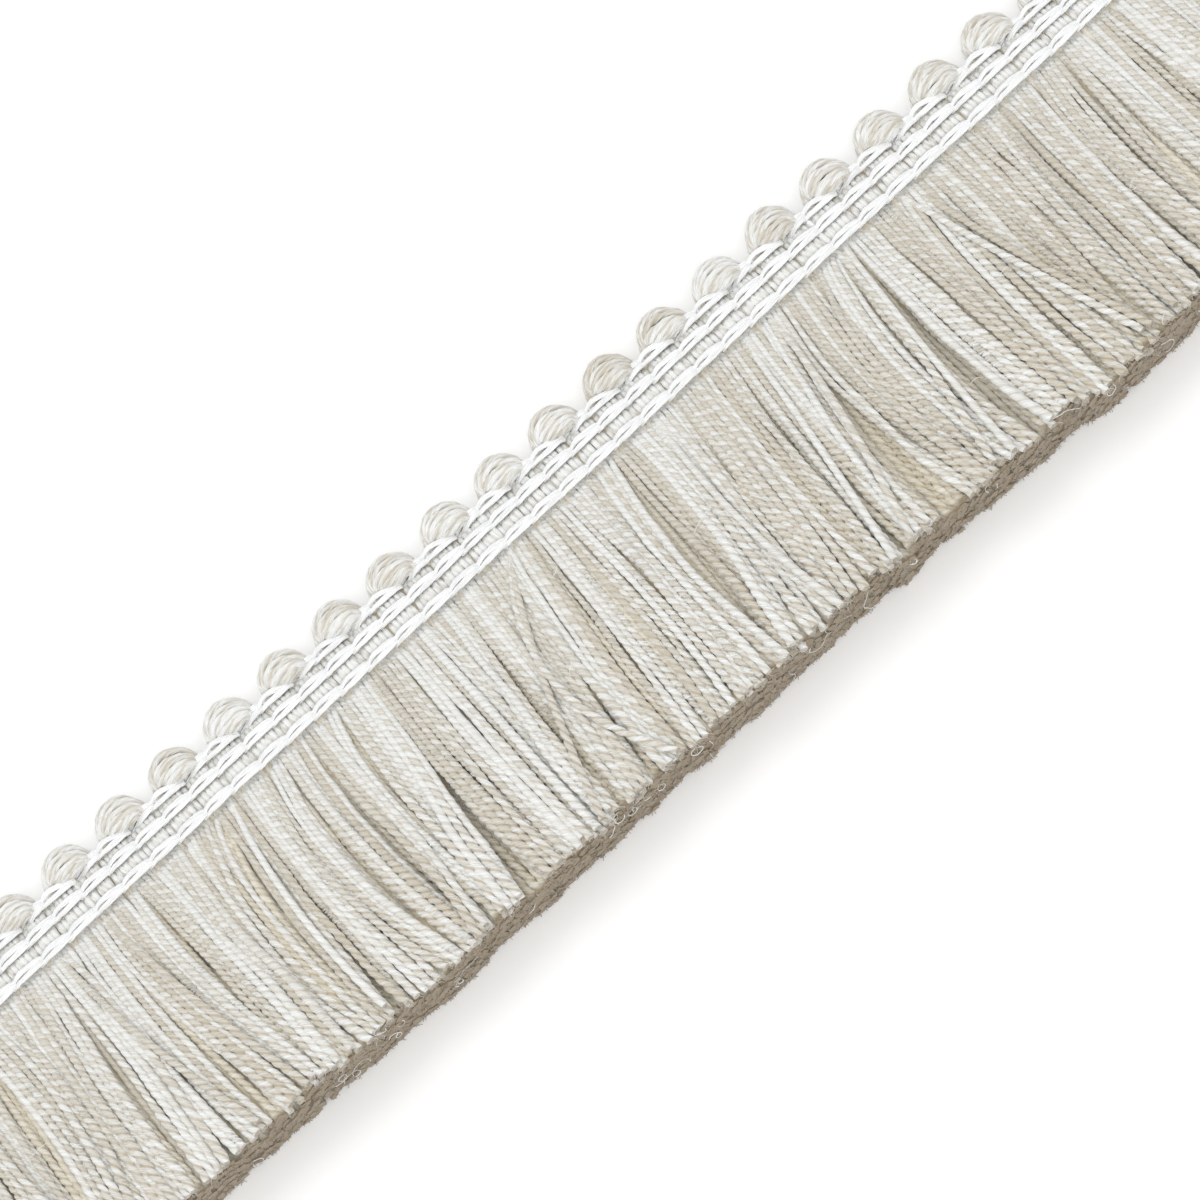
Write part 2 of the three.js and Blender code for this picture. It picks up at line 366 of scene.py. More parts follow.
SKIRT = lay_skirt()
brush_top = (SKIRT[2][-1] + SKIRT[3][-1]).max()
print(f"{SKIRT[0].shape[1]} yarns, brush {brush_top:.1f} mm thick at its cut end")

# %% [markdown]
# A few yarns have come loose from their locks and lie across the others, on top
# of the brush. The first ones are read off the photograph, with the place of their
# root, their middle and their end. The rest are strewn at random.

# %% Strays
STRAYS = [
    (-3.7, -9.1, -4.7),
    (-4.0, -9.9, -14.2),
    (-63, -61, -57.5),
    (47.5, 50.5, 54.5),
    (48.8, 51.4, 55.4),
]
STRAY_COUNT = 16
STRAY_THINNESS = 0.9
STRAY_LIFT = 0.7
STRAY_ROOT_SINK = 0.3


def surface(x):
    """Height of the brush under a yarn that lies at x, at each station."""
    near = np.abs(SKIRT[0] - x[:, None]) < SKIRT[3] + 0.2
    return np.where(near, SKIRT[2] + SKIRT[3], 0).max(axis=1)


def stray(root, middle, end):
    """Places a loose yarn on top of the brush. Returns its x, y, z and radius."""
    share = SHARE[:, 0]
    x = root + (4 * middle - end - 3 * root) * share + 2 * (end + root - 2 * middle) * share ** 2
    radius = lerp(ROOT_RADIUS, CUT_RADIUS * STRAY_THINNESS, share)
    above = surface(x) + STRAY_LIFT * radius
    z = lerp(HEADING_HIGH[2] - STRAY_ROOT_SINK, above, smooth(0, 0.16, share))
    for _ in range(6):
        z[1:-1] = (z[:-2] + 2 * z[1:-1] + z[2:]) / 4
    y = HEADING_LOW[1] - share * (HEADING_LOW[1] - CUT_Y + rng.normal(-0.2, 0.3))
    return x, y, z, radius


def strewn_stray():
    root = rng.uniform(0.95 * HEADING_LOW[0], 0.95 * HEADING_HIGH[0])
    middle = root + drift(root, 0.5) + rng.normal(0, 0.8)
    return root, middle, lerp(root, middle, 2) + rng.normal(0, 1.2)


loose = [stray(*places) for places in STRAYS]
loose += [stray(*strewn_stray()) for _ in range(STRAY_COUNT - len(STRAYS))]
SKIRT_X, SKIRT_Y, SKIRT_Z, SKIRT_RADIUS = (
    np.column_stack([laid, *added]) for laid, added in zip(SKIRT, zip(*loose)))
YARN_COUNT = SKIRT_X.shape[1]
print(f"{len(loose)} strays, highest at {SKIRT_Z[:, -len(loose):].max():.1f} mm")

# %% [markdown]
# Which yarns show
#
# Most of the brush is hidden inside it. A yarn that shows gets its full twist,
# and a hidden one stays plain, so that the part keeps a size that tools can bear.
# Seen from above, the trim is cut into narrow cells, and the highest yarn in each
# cell is the one that shows there. Besides the yarns in front and at the back there
# are those that are glimpsed between the others or at the trim's ends, and those
# that are buried, whose cut ends alone are seen.

# %% Counting how much of each yarn shows
CELL = 0.06
SHOWS_WITHIN = 0.02
FRONT_COUNT = 400
BACK_COUNT = 260
GLIMPSED_COUNT = 400
SIDE_DEPTH = 2.6


def showing(side):
    """Share of each yarn that shows from above (side 1) or from below (side -1)."""
    seen = np.zeros(YARN_COUNT)
    across = np.linspace(-0.95, 0.95, 15)
    for x, z, radius in zip(SKIRT_X, SKIRT_Z, SKIRT_RADIUS):
        places = x + np.outer(across, radius)
        heights = side * z + np.outer(np.sqrt(1 - across ** 2), radius)
        cells = ((places - HEADING_LOW[0]) / CELL).astype(int).clip(0)
        top = np.full(cells.max() + 1, -99.0)
        np.maximum.at(top, cells, heights)
        seen += (heights >= top[cells] - SHOWS_WITHIN).mean(axis=0)
    return seen / STATIONS


from_above = showing(1)
order = np.argsort(-from_above)
FRONT = np.sort(order[:FRONT_COUNT])
rest = np.setdiff1d(order, FRONT)
BACK = np.sort(rest[np.argsort(-showing(-1)[rest])[:BACK_COUNT]])
inner = np.setdiff1d(rest, BACK)
near_side = np.abs(SKIRT_X[:, inner]).max(axis=0) > HEADING_HIGH[0] - SIDE_DEPTH
glimpsed = near_side | (np.argsort(np.argsort(-from_above[inner])) < GLIMPSED_COUNT)
GLIMPSED, BURIED = inner[glimpsed], inner[~glimpsed]
print(f"{len(FRONT)} yarns in front, {len(BACK)} at the back")
print(f"{len(GLIMPSED)} yarns glimpsed, {len(BURIED)} buried")
print(f"each yarn in front shows at least {from_above[FRONT].min():.3f} of itself")

# %% [markdown]
# The spun yarn
#
# All threads here are made by one Geometry Nodes tree. It sweeps a profile with a
# round lobe for each ply along every centre line, and turns it as it goes. The
# turn, the thickness and the shade of each thread are attributes of its points,
# so one sweep spins hundreds of threads, no two of them alike.

# %% The tree that spins yarn
def group_tree(name, sockets):
    """An empty geometry tree with named inputs. Returns the tree and its input node."""
    tree = bpy.data.node_groups.new(name, "GeometryNodeTree")
    tree.interface.new_socket("Geometry", in_out="INPUT", socket_type="NodeSocketGeometry")
    for label, kind in sockets.items():
        tree.interface.new_socket(label, in_out="INPUT", socket_type=kind)
    tree.interface.new_socket("Geometry", in_out="OUTPUT", socket_type="NodeSocketGeometry")
    return tree, node(tree, "NodeGroupInput")


def spun_yarn_tree():
    tree, given = group_tree("spun_yarn", {
        "Sides": "NodeSocketInt", "Resolution": "NodeSocketInt", "Plies": "NodeSocketInt",
        "Material": "NodeSocketMaterial"})
    given = given.outputs

    # A round profile, whose points keep their place around the yarn
    circle = node(tree, "GeometryNodeCurvePrimitiveCircle",
                  {"Resolution": given["Sides"], "Radius": 1.0})
    place = node(tree, "GeometryNodeInputPosition")
    profile = node(tree, "GeometryNodeStoreNamedAttribute",
                   {"Geometry": circle, "Name": "around", "Value": place},
                   data_type="FLOAT_VECTOR", domain="POINT")

    # The centre lines, rounded off, turned, and swept by the profile
    lines = node(tree, "GeometryNodeMeshToCurve", {"Mesh": given["Geometry"]})
    curved = node(tree, "GeometryNodeCurveSplineType", {"Curve": lines}, spline_type="CATMULL_ROM")
    fine = node(tree, "GeometryNodeSetSplineResolution",
                {"Geometry": curved, "Resolution": given["Resolution"]})
    twist = node(tree, "GeometryNodeInputNamedAttribute", {"Name": "twist"}, data_type="FLOAT")
    turned = node(tree, "GeometryNodeSetCurveTilt", {"Curve": fine, "Tilt": twist})
    centred = node(tree, "GeometryNodeStoreNamedAttribute",
                   {"Geometry": turned, "Name": "centre", "Value": place},
                   data_type="FLOAT_VECTOR", domain="POINT")
    length = node(tree, "GeometryNodeSplineParameter").outputs["Length"]
    measured = node(tree, "GeometryNodeStoreNamedAttribute",
                    {"Geometry": centred, "Name": "along", "Value": length},
                    data_type="FLOAT", domain="POINT")
    radius = node(tree, "GeometryNodeInputNamedAttribute", {"Name": "radius"}, data_type="FLOAT")
    swept = node(tree, "GeometryNodeCurveToMesh",
                 {"Curve": measured, "Profile Curve": profile, "Scale": radius, "Fill Caps": True})

    # Between its plies the yarn is drawn in towards its centre line
    around = node(tree, "GeometryNodeInputNamedAttribute",
                  {"Name": "around"}, data_type="FLOAT_VECTOR")
    axes = node(tree, "ShaderNodeSeparateXYZ", {0: around})
    angle = node(tree, "ShaderNodeMath",
                 {0: axes.outputs["Y"], 1: axes.outputs["X"]}, operation="ARCTAN2")
    turns = node(tree, "ShaderNodeMath", {0: angle, 1: given["Plies"]}, operation="MULTIPLY")
    lobes = node(tree, "ShaderNodeMath", {0: turns}, operation="COSINE")
    depth = node(tree, "ShaderNodeMath", {0: lobes, 1: 0.5, 2: 0.5}, operation="MULTIPLY_ADD")
    groove = node(tree, "GeometryNodeInputNamedAttribute", {"Name": "groove"}, data_type="FLOAT")
    drawn_in = node(tree, "ShaderNodeMath", {0: depth, 1: groove}, operation="MULTIPLY")
    keep = node(tree, "ShaderNodeMath", {0: 1.0, 1: drawn_in}, operation="SUBTRACT")
    centre = node(tree, "GeometryNodeInputNamedAttribute",
                  {"Name": "centre"}, data_type="FLOAT_VECTOR")
    outwards = node(tree, "ShaderNodeVectorMath", {0: place, 1: centre}, operation="SUBTRACT")
    scaled = node(tree, "ShaderNodeVectorMath", {0: outwards, "Scale": keep}, operation="SCALE")
    moved = node(tree, "ShaderNodeVectorMath", {0: centre, 1: scaled}, operation="ADD")
    plied = node(tree, "GeometryNodeSetPosition", {"Geometry": swept, "Position": moved})
    marked = node(tree, "GeometryNodeStoreNamedAttribute",
                  {"Geometry": plied, "Name": "crease", "Value": depth},
                  data_type="FLOAT", domain="POINT")

    # Smooth along the yarn, with a crisp rim around each cut end
    bend = node(tree, "GeometryNodeInputMeshEdgeAngle")
    shallow = node(tree, "ShaderNodeMath", {0: bend, 1: math.radians(70)}, operation="LESS_THAN")
    soft = node(tree, "GeometryNodeSetShadeSmooth",
                {"Geometry": marked, "Shade Smooth": shallow}, domain="EDGE")
    whole = node(tree, "GeometryNodeRealizeInstances", {"Geometry": soft})
    done = node(tree, "GeometryNodeSetMaterial", {"Geometry": whole, "Material": given["Material"]})
    node(tree, "NodeGroupOutput", {"Geometry": done})
    return tree


SPUN_YARN = spun_yarn_tree()
print(f"the tree {SPUN_YARN.name} has {len(SPUN_YARN.nodes)} nodes")

# %% [markdown]
# From centre lines to a piece
#
# A thread is handed over as rows of points with their attributes. All threads of
# a piece go into one mesh of bare edges, the tree spins them, and the result is
# kept as a plain mesh without the modifier.

# %% Spinning threads into a piece
PIECES = []
PLY_SWELL = 0.5


class Threads:
    """Centre lines of threads, in millimetres, gathered for one piece."""

    def __init__(self):
        self.points, self.edges = [], []
        labels = ("radius", "twist", "groove", "tone_a", "tone_b", "from_cut", "cut_darkening")
        self.values = {label: [] for label in labels}
        self.count = 0

    def add(self, points, radius, twist, tones, groove=0.4, from_cut=99.0, cut_darkening=0.05):
        size = len(points)
        self.points.append(points)
        self.edges.append(np.column_stack([np.arange(size - 1), np.arange(1, size)]) + self.count)
        swollen = radius * MM * (1 + PLY_SWELL * groove)
        row = (swollen, twist, groove, tones[0], tones[1], from_cut, cut_darkening)
        for rows, value in zip(self.values.values(), row):
            rows.append(np.broadcast_to(value, size))
        self.count += size

    def mesh(self, name):
        mesh = bpy.data.meshes.new(name)
        edges = np.concatenate(self.edges)
        mesh.vertices.add(self.count)
        mesh.vertices.foreach_set("co", (np.concatenate(self.points) * MM).ravel())
        mesh.edges.add(len(edges))
        mesh.edges.foreach_set("vertices", edges.ravel())
        for label, rows in self.values.items():
            attribute = mesh.attributes.new(label, "FLOAT", "POINT")
            attribute.data.foreach_set("value", np.concatenate(rows))
        mesh.update()
        return mesh


def run_tree(tree, mesh, name, inputs):
    """Runs a tree on a mesh and returns its result as a plain object."""
    carrier = bpy.data.objects.new(name, mesh)
    bpy.context.scene.collection.objects.link(carrier)
    modifier = carrier.modifiers.new("nodes", "NODES")
    modifier.node_group = tree
    for item in tree.interface.items_tree:
        if item.in_out == "INPUT" and item.name in inputs:
            modifier[item.identifier] = inputs[item.name]
    graph = bpy.context.evaluated_depsgraph_get()
    result = bpy.data.meshes.new_from_object(carrier.evaluated_get(graph))
    carrier.modifiers.remove(modifier)
    carrier.data = result
    bpy.data.meshes.remove(mesh)
    result.name = name
    return carrier


def finish_piece(piece):
    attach(piece, "root")
    faces = sum(len(face.vertices) - 2 for face in piece.data.polygons)
    PIECES.append((piece.name, faces))
    print(f"{piece.name}: {faces} triangles")
    return piece


def spin(name, threads, material, sides=6, plies=2, resolution=4):
    inputs = {"Sides": sides, "Plies": plies, "Resolution": resolution, "Material": material}
    return finish_piece(run_tree(SPUN_YARN, threads.mesh(name + "_lines"), name, inputs))


# %% [markdown]
# The finish of the cotton yarn
#
# The skirt is soft two-ply cotton, combed and lightly spun: quite matt, with a
# bloom of loose fibre that catches the light at a flat angle, which is the sheen.
# Two shades are mixed, a bleached white and a natural oatmeal, and some yarns
# are marled from one ply of each. Fibres run along each ply as fine streaks.

# %% Cotton
WHITE = "#e8e9e7"
OATMEAL = "#c6bfb0"
# Painted shade, mixed into the crease between the plies
CREASE_PAINTED_SHADE = "#a08c66"
# Colour of the cut ends: partly the cut fibres' own darkness, partly painted shade for the shaded cut
# face
CUT_END_AND_SHADE_BROWN = "#7c6a4e"
YARN_RADIUS = 0.45
FIBRE_WIDTH = 0.09
FIBRE_LENGTH = 1.2
MINGLING = 1.2
CREASE_SHADE = 1.5


def cotton(name, white=WHITE, natural=OATMEAL, fibre_depth=0.03):
    """Matt cotton yarn. Its shade is read from each ply, the crease between plies gets painted shade,
    and it darkens at the cut: partly the cut fibres' own darkness, partly painted shade.
    """
    material = bpy.data.materials.new(name)
    material.use_nodes = True
    tree = material.node_tree
    shader = tree.nodes["Principled BSDF"]
    shader.inputs["Roughness"].default_value = 0.88
    shader.inputs["Specular IOR Level"].default_value = 0.2
    shader.inputs["Sheen Weight"].default_value = 0.5
    shader.inputs["Sheen Roughness"].default_value = 0.5

    # The shade of the two plies
    place = node(tree, "ShaderNodeAttribute", attribute_name="around").outputs["Vector"]
    around = node(tree, "ShaderNodeSeparateXYZ", {0: place})
    ply = node(tree, "ShaderNodeMapRange",
               {"Value": around.outputs["Y"], "From Min": -0.25, "From Max": 0.25})
    tone_a = node(tree, "ShaderNodeAttribute", attribute_name="tone_a").outputs["Fac"]
    tone_b = node(tree, "ShaderNodeAttribute", attribute_name="tone_b").outputs["Fac"]
    tone = node(tree, "ShaderNodeMix", {0: ply, 2: tone_a, 3: tone_b})

    # Fibres: noise that is drawn out along the yarn
    along = node(tree, "ShaderNodeAttribute", attribute_name="along").outputs["Fac"]
    stretch = node(tree, "ShaderNodeMath",
                   {0: along, 1: 1 / (FIBRE_LENGTH * MM), 2: tone_a}, operation="MULTIPLY_ADD")
    ring = node(tree, "ShaderNodeVectorMath",
                {0: place, "Scale": YARN_RADIUS / FIBRE_WIDTH}, operation="SCALE")
    drawn = node(tree, "ShaderNodeCombineXYZ", {2: stretch})
    flow = node(tree, "ShaderNodeVectorMath", {0: ring, 1: drawn}, operation="ADD")
    fibres = node(tree, "ShaderNodeTexNoise", {"Vector": flow, "Scale": 1.0, "Detail": 2.0})
    mingled = node(tree, "ShaderNodeMath",
                   {0: fibres, 1: MINGLING, 2: tone}, operation="MULTIPLY_ADD")
    centred = node(tree, "ShaderNodeMath",
                   {0: mingled, 1: MINGLING / 2}, operation="SUBTRACT", use_clamp=True)
    shade = node(tree, "ShaderNodeMix",
                 {0: centred, 6: linear(natural), 7: linear(white)}, data_type="RGBA")
    streak = node(tree, "ShaderNodeMapRange", {"Value": fibres, "From Min": 0.3, "From Max": 0.7,
                                              "To Min": 0.87, "To Max": 1.05})
    streaked = node(tree, "ShaderNodeVectorMath",
                    {0: shade.outputs[2], "Scale": streak}, operation="SCALE")

    # The crease between the plies gets painted shade, and less so on a smooth yarn
    groove = node(tree, "ShaderNodeAttribute", attribute_name="groove").outputs["Fac"]
    crease = node(tree, "ShaderNodeAttribute", attribute_name="crease").outputs["Fac"]
    narrow = node(tree, "ShaderNodeMapRange", {"Value": crease, "From Min": 0.45, "From Max": 1.0})
    deep = node(tree, "ShaderNodeMath", {0: groove, 1: CREASE_SHADE}, operation="MULTIPLY")
    gathered = node(tree, "ShaderNodeMath", {0: narrow, 1: deep}, operation="MULTIPLY")
    creased = node(tree, "ShaderNodeMix",
                   {0: gathered, 6: streaked, 7: linear(CREASE_PAINTED_SHADE)}, data_type="RGBA")
    bump = node(tree, "ShaderNodeBump",
                {"Height": fibres, "Strength": 0.6, "Distance": fibre_depth * MM})
    tree.links.new(bump.outputs[0], shader.inputs["Normal"])

    # Cut ends swallow light, so the cap is darkened: partly the cut fibres' own darkness, partly
    # painted shade for the shaded cut face. The last of a hidden yarn is darkened over a longer reach,
    # which is painted shade.
    from_cut = node(tree, "ShaderNodeAttribute", attribute_name="from_cut").outputs["Fac"]
    cut_darkening = node(tree, "ShaderNodeAttribute", attribute_name="cut_darkening").outputs["Fac"]
    near_cut = node(tree, "ShaderNodeMapRange", {"Value": from_cut, "From Min": 0.0, "From Max": cut_darkening,
                                                "To Min": 1.0, "To Max": 0.0})
    colour = node(tree, "ShaderNodeMix",
                  {0: near_cut, 6: creased.outputs[2], 7: linear(CUT_END_AND_SHADE_BROWN)}, data_type="RGBA")
    tree.links.new(colour.outputs[2], shader.inputs["Base Color"])
    return material


COTTON = cotton("combed_cotton_yarn")
# A darker, warmer copy of the cotton: painted shade for the yarns below the top layer
COTTON_IN_PAINTED_SHADE = cotton("combed_cotton_yarn_in_painted_shade", white="#dfdacd", natural="#c7bfac")
print(f"{COTTON.name} has {len(COTTON.node_tree.nodes)} nodes")

# %% [markdown]
# The yarns of the skirt
#
# Each yarn starts under the scallops, passes under three rows of warp, which press
# its plies smooth, and runs out to the cut. In the heading its cotton is painted
# paler, which is painted light. Yarns that show are spun in full, and the others
# with fewer sides and points. The yarns in front below the top layer and the
# glimpsed ones take a darker, warmer copy of the cotton: painted shade for the light
# that gets down between the yarns, which has bounced off cotton a few times.

# %% The skirt
HEADING_PATH = [(15.9, -0.3), (15.3, -0.1), (14.65, 0.4), (13.75, -0.1), (12.55, 0.5), (11.3, -0.1)]
LEAD_ROOT, LEAD_CUT = 1.15, 2.2
SLACK_TWIST = 0.3
KINDS = {"white": (0.95, 0.72, 0.27), "natural": (0.42, 0.22, 0.42), "marled": (0.8, 0.35, 0.38)}
ROOT_GROOVE = 0.5
# How much paler the yarns are painted in the heading, which is painted light
HEADING_PAINTED_LIGHT = 0.65
FIRST_TURN = 60
PRESSED_TWIST = 0.35
SWELL_ON_TOP, SWELL_BELOW = 1.12, 1.25
END_ON_TOP, END_BELOW = 0.85, 1.3
TOP_LAYER = BUNDLE_SIZE - LAYER_YARNS


def is_on_top(number):
    return number % BUNDLE_SIZE >= TOP_LAYER or number >= SKIRT[0].shape[1]


def yarn_line(number):
    """Points, thickness and distance to the cut end of one yarn of the skirt."""
    points = np.column_stack([SKIRT_X[:, number], SKIRT_Y[:, number], SKIRT_Z[:, number]])
    give = 1.0 if is_on_top(number) else -0.4
    x, _, z = points[0]
    heads = [(x, y, max(z + dip * give, ROOT_RADIUS)) for y, dip in HEADING_PATH]
    thickness = ROOT_RADIUS * (SWELL_ON_TOP if is_on_top(number) else SWELL_BELOW)
    radius = np.concatenate([np.full(len(heads), thickness), SKIRT_RADIUS[:, number]])
    return np.vstack([heads, points]), radius


def twist_of(points, lead_root, lead_cut, start, pressed=0):
    """Turn of the plies at each point. It opens up towards the cut, and where the warp presses."""
    steps = np.linalg.norm(np.diff(points, axis=0), axis=1)
    run = np.concatenate([[0], np.cumsum(steps)])
    share = (run / run[-1]) ** 1.3
    rate = 2 * math.pi / lerp(lead_root, lead_cut, share)
    rate *= 1 - SLACK_TWIST * rng.random(len(rate))
    rate[:pressed] *= PRESSED_TWIST
    return start - np.concatenate([[0], np.cumsum(steps * (rate[1:] + rate[:-1]) / 2)])


def shades(count):
    """Shades of both plies and depth of the groove. Like yarns lie in ones or twos."""
    rows = np.zeros((count, 3))
    number, kind = 0, "marled"
    while number < count:
        kind = rng.choice([other for other in KINDS if other != kind])
        size = rng.integers(1, 3)
        rows[number:number + size] = KINDS[kind]
        number += size
    rows[:, :2] += rng.normal(0, 0.12, (count, 1))
    rows[:, 2] += rng.normal(0, 0.05, count)
    return np.clip(rows, 0, 1)


YARN_SHADES = shades(YARN_COUNT)
YARN_LEAD = rng.uniform(0.85, 1.25, YARN_COUNT)


def skirt_threads(numbers, every=1, first=0, calm=1.0):
    """The yarns with these numbers, from their first point on, with every so many points.

    A yarn with few points can't hold a tight twist without pinching, so calm slows its turn.
    """
    threads = Threads()
    for number in numbers:
        points, radius = yarn_line(number)
        twist = twist_of(points, LEAD_ROOT * YARN_LEAD[number], LEAD_CUT * YARN_LEAD[number],
                         FIRST_TURN * YARN_LEAD[number], len(HEADING_PATH))
        radius[-1] *= END_ON_TOP if is_on_top(number) else END_BELOW
        kept = np.arange(first, len(points))[::-every][::-1]
        tone_a, tone_b, groove = YARN_SHADES[number]
        groove = groove * lerp(ROOT_GROOVE, 1, smooth(len(HEADING_PATH), len(points), kept))
        # Yarns are painted paler in the heading, fading out past it, which is painted light
        painted_lift = HEADING_PAINTED_LIGHT * (1 - smooth(len(HEADING_PATH) - 1, len(HEADING_PATH) + 2, kept))
        # Top yarns darken at the cap only; hidden yarns darken further from the cut, which is painted
        # shade
        cut_darkening = rng.uniform(0.03, 0.15) if is_on_top(number) else rng.uniform(0.5, 1.0)
        from_cut = points[kept, 1] - points[-1, 1] + 0.03
        tones = (tone_a + painted_lift, tone_b + painted_lift)
        threads.add(points[kept], radius[kept], twist[kept] * calm, tones, groove, from_cut, cut_darkening)
    return threads


FRONT_PARTS = 3
BURIED_FROM = 25
COARSE_CALM = 0.12
on_top = np.array([is_on_top(number) for number in FRONT])
for part, numbers in enumerate(np.array_split(FRONT[on_top], FRONT_PARTS), 1):
    spin(f"front_yarns_{part}", skirt_threads(numbers), COTTON)
# Yarns below the top layer, and the glimpsed ones, take the copy of the cotton with painted shade
spin("front_yarns_below", skirt_threads(FRONT[~on_top]), COTTON_IN_PAINTED_SHADE)
spin("back_yarns", skirt_threads(BACK, every=2, calm=COARSE_CALM), COTTON,
     sides=4, resolution=2)
spin("inner_yarns", skirt_threads(GLIMPSED, every=2, calm=COARSE_CALM), COTTON_IN_PAINTED_SHADE,
     resolution=1)
spin("buried_yarn_ends", skirt_threads(BURIED, first=BURIED_FROM, calm=COARSE_CALM), COTTON,
     sides=5, resolution=1)
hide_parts("fringe", "heading")

# %% [markdown]
# The core of the brush
#
# Deep between the yarns of a real brush, loose fibres fill every gap, and what is
# seen there is warm brownish shade, never the table underneath. A closed core of
# packed fibres stands for them; its warm brownish colour is painted shade. It
# follows the lowest of what shows at each place, and lies well below that, so that
# it never hides a yarn of the second layer.

# %% Core
CORE_STEP = 0.8
CORE_INSET = 2.0
CORE_DEPTH_ROOT, CORE_DEPTH_CUT = 0.6, 0.7
CORE_HEADING = [(15.7, 1.5), (15.2, 1.95), (11.8, 1.95), (HEADING_LOW[1] + 0.3, 1.6)]
CORE_BOTTOM = 0.5
CORE_REACH = 0.3
CORE_GRAIN = 0.25
# The two tones of the core's painted shade
CORE_PAINTED_SHADE_DARK, CORE_PAINTED_SHADE_PALE = "#b3a78d", "#cabfa9"


def packed_fibres_painted_shade():
    material = bpy.data.materials.new("packed_cotton_fibres_painted_shade")
    material.use_nodes = True
    tree = material.node_tree
    shader = tree.nodes["Principled BSDF"]
    shader.inputs["Roughness"].default_value = 0.95
    shader.inputs["Specular IOR Level"].default_value = 0.1
    place = node(tree, "ShaderNodeTexCoord").outputs["Object"]
    drawn = node(tree, "ShaderNodeVectorMath",
                 {0: place, 1: (1.0, 0.12, 1.0)}, operation="MULTIPLY")
    noise = node(tree, "ShaderNodeTexNoise",
                 {"Vector": drawn, "Scale": 1 / (CORE_GRAIN * MM), "Detail": 2.0})
    # The core is coloured warm brownish, as painted shade for the depths of the brush
    colour = node(tree, "ShaderNodeMix",
                  {0: noise, 6: linear(CORE_PAINTED_SHADE_DARK), 7: linear(CORE_PAINTED_SHADE_PALE)}, data_type="RGBA")
    tree.links.new(colour.outputs[2], shader.inputs["Base Color"])
    return material


def core_sections():
    """Rows of points over the top and under the bottom of the core, from edge to cut."""
    places = np.arange(HEADING_LOW[0] + CORE_INSET, HEADING_HIGH[0] - CORE_INSET, CORE_STEP)
    rows = [(np.full(places.size, y), np.full(places.size, z)) for y, z in CORE_HEADING]
    for station in [*range(2, STATIONS - 1, 2), STATIONS - 1]:
        near = np.abs(SKIRT[0][station][:, None] - places) < CORE_REACH
        top = np.where(near, (SKIRT[2] + SKIRT[3])[station][:, None], 0).max(axis=0)
        top[1:-1] = np.minimum(np.minimum(top[:-2], top[2:]), top[1:-1])
        top[1:-1] = (top[:-2] + 2 * top[1:-1] + top[2:]) / 4
        share = SHARE[station, 0]
        across = BY_PLACE[station]
        y = np.interp(places, SKIRT[0][station][across], SKIRT[1][station][across])
        depth = lerp(CORE_DEPTH_ROOT, CORE_DEPTH_CUT, share)
        rows.append((y + 0.5 * (station == STATIONS - 1), top - depth))
    return places, rows


def make_core():
    places, rows = core_sections()
    across = len(places)
    top = [(x, y, z) for ys, zs in rows for x, y, z in zip(places, ys, zs)]
    bottom = [(x, y, CORE_BOTTOM) for ys, _ in rows for x, y in zip(places, ys)]
    size = len(top)
    faces = []
    for row in range(len(rows) - 1):
        for number in range(across - 1):
            a = row * across + number
            quad = (a, a + across, a + across + 1, a + 1)
            faces.append(quad)
            faces.append(tuple(size + corner for corner in reversed(quad)))
    rim = list(range(across)) + [row * across + across - 1 for row in range(1, len(rows))]
    rim += [size - 1 - number for number in range(1, across)]
    rim += [row * across for row in range(len(rows) - 2, 0, -1)]
    for a, b in zip(rim, rim[1:] + rim[:1]):
        faces.append((a, b, size + b, size + a))
    mesh = bpy.data.meshes.new("brush_core")
    mesh.from_pydata((np.array(top + bottom) * MM).tolist(), [], faces)
    mesh.polygons.foreach_set("use_smooth", [True] * len(faces))
    mesh.materials.append(packed_fibres_painted_shade())
    core = bpy.data.objects.new("brush_core", mesh)
    bpy.context.scene.collection.objects.link(core)
    return finish_piece(core)


BY_PLACE = np.argsort(SKIRT[0], axis=1)
make_core()

# %% [markdown]
# The nap of the cut face
#
# Where the yarns are cut, their plies burst into short curled fibres, which close
# the face of the brush to a brownish felt, darkened like the cut ends: partly the
# cut fibres' own darkness, partly painted shade. Each yarn end gets a few. They are
# spun by the same tree as the yarns, with the least number of sides. A few longer
# hairs have come out of the yarns elsewhere.

# %% Nap
NAP_PER_YARN = 3
NAP_RADIUS = 0.035
NAP_CURL = 0.22
HAIR_COUNT = 110
HAIR_RADIUS = 0.036
HAIR_POINTS = 9
HAIR_STEP = np.array([0.45, 0.12, 0.3])


def nap_threads():
    threads = Threads()
    for number in range(YARN_COUNT):
        end = np.array([SKIRT_X[-1, number], SKIRT_Y[-1, number], SKIRT_Z[-1, number]])
        on_top = is_on_top(number)
        for _ in range(NAP_PER_YARN):
            curl = rng.normal(0, NAP_CURL, (3, 3))
            curl[:, 1] = (0.15, -0.12, -0.12 - rng.uniform(0, 0.25))
            points = end + np.cumsum(curl, axis=0)
            points[:, 2] = points[:, 2].clip(0.05)
            tone = rng.uniform(0.2, 0.9)
            # The nap is darkened like the cut ends, more so below the top layer, which is partly
            # painted shade
            threads.add(points, NAP_RADIUS, 0.0, (tone, tone), 0.0, 0.02, 0.03 if on_top else 0.06)
    return threads


